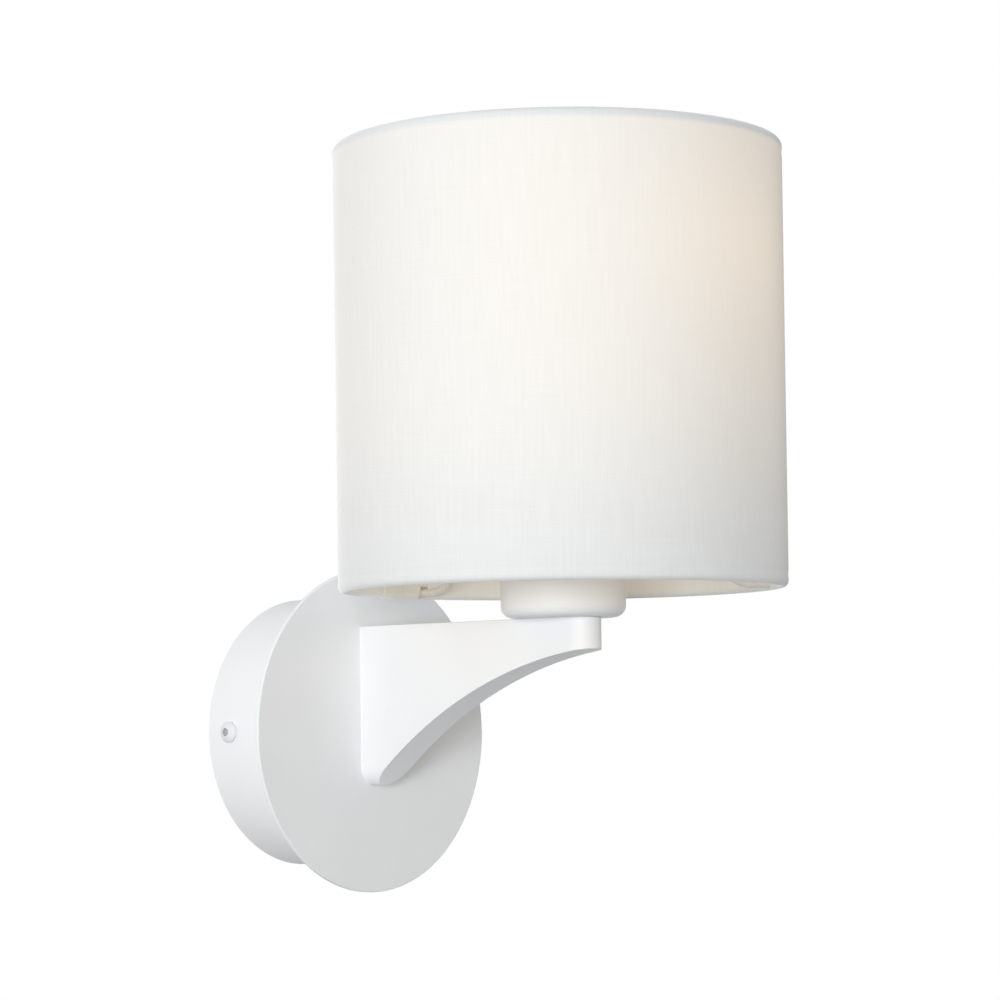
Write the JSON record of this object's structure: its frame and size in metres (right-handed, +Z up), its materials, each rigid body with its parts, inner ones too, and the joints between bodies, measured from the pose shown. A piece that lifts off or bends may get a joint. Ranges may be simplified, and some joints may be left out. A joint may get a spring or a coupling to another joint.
{
  "type": "fabric shade wall light",
  "caption": "Wall light with an upright fabric drum shade on a curved bracket arm, a round wall cup with a front disc, and a screw-in bulb.",
  "frame": {"origin": "centre of the wall cup's open back, on the wall's surface and in the middle of the strap's two slots", "axes": "+Y into the wall, +Z up, +X to the right as seen from the room"},
  "size_m": [0.15, 0.1966, 0.2492],
  "materials": {
    "zinc_steel": "zinc plated",
    "brass": "turned",
    "polyamide": "moulded, satin",
    "white_paint": "matt white powder coat",
    "rubber": "matt",
    "white_thermoplastic": "moulded, satin",
    "ceramic": "glazed",
    "linen": "off-white linen weave",
    "shade_sheet": "translucent sheet",
    "white_wire": "white powder coat",
    "cap_metal": "nickel plated",
    "black_glass": "glassy black",
    "bulb_plastic": "moulded, satin",
    "aluminium_board": "white lacquered",
    "phosphor": "yellow phosphor",
    "opal": "opal, diffusing",
    "brown_lead": "silicone sleeve",
    "blue_lead": "silicone sleeve",
    "green_lead": "silicone sleeve, green and yellow"
  },
  "bodies": {
    "fixture": {"wall_bracket": "zinc_steel", "earth_washer": "zinc_steel", "earth_screw": "brass", "terminal_block": "polyamide", "terminal_tubes": "brass", "terminal_screws": "zinc_steel", "terminal_block_screw": "zinc_steel", "canopy": "white_paint", "front_disc": "white_paint", "canopy_side_screws": "white_paint", "arm": "white_paint", "arm_screws": "zinc_steel", "arm_screw_washers": "zinc_steel", "wire_grommet": "rubber", "hollow_nipple": "zinc_steel", "toothed_washer": "zinc_steel", "nipple_lock_nut": "brass", "holder_cup": "white_paint", "holder_dome": "white_thermoplastic", "holder_insert": "ceramic", "holder_terminal_screws": "brass", "screw_shell": "brass", "centre_contact": "brass", "holder_skirt": "white_thermoplastic", "lower_shade_ring": "white_thermoplastic", "earth_tag": "cap_metal", "line_lead": "brown_lead", "neutral_lead": "blue_lead", "earth_lead": "green_lead"},
    "shade": {"shade_fabric": "linen", "shade_liner": "shade_sheet", "bottom_wire_ring": "white_wire", "top_wire_ring": "white_wire", "fitter_ring": "white_wire", "spider_arms": "white_wire"},
    "clamp_ring": {"upper_shade_ring": "white_thermoplastic"},
    "bulb": {"bulb_tip_contact": "cap_metal", "bulb_cap_insulator": "black_glass", "bulb_screw_cap": "cap_metal", "bulb_housing": "bulb_plastic", "light_board": "aluminium_board", "light_chips": "phosphor", "bulb_globe": "opal"}
  },
  "joints": [
    {"name": "shade_turn", "type": "hinge", "parent": "fixture", "child": "shade", "pos_m": [0, -0.1216, 0.067], "axis": [0, 0, 1], "continuous": true},
    {"name": "ring_unscrew", "type": "slide", "parent": "fixture", "child": "clamp_ring", "axis": [0, 0, 1], "range_m": [0, 0.016]},
    {"name": "bulb_unscrew", "type": "slide", "parent": "fixture", "child": "bulb", "axis": [0, 0, 1], "range_m": [0, 0.135]}
  ]
}
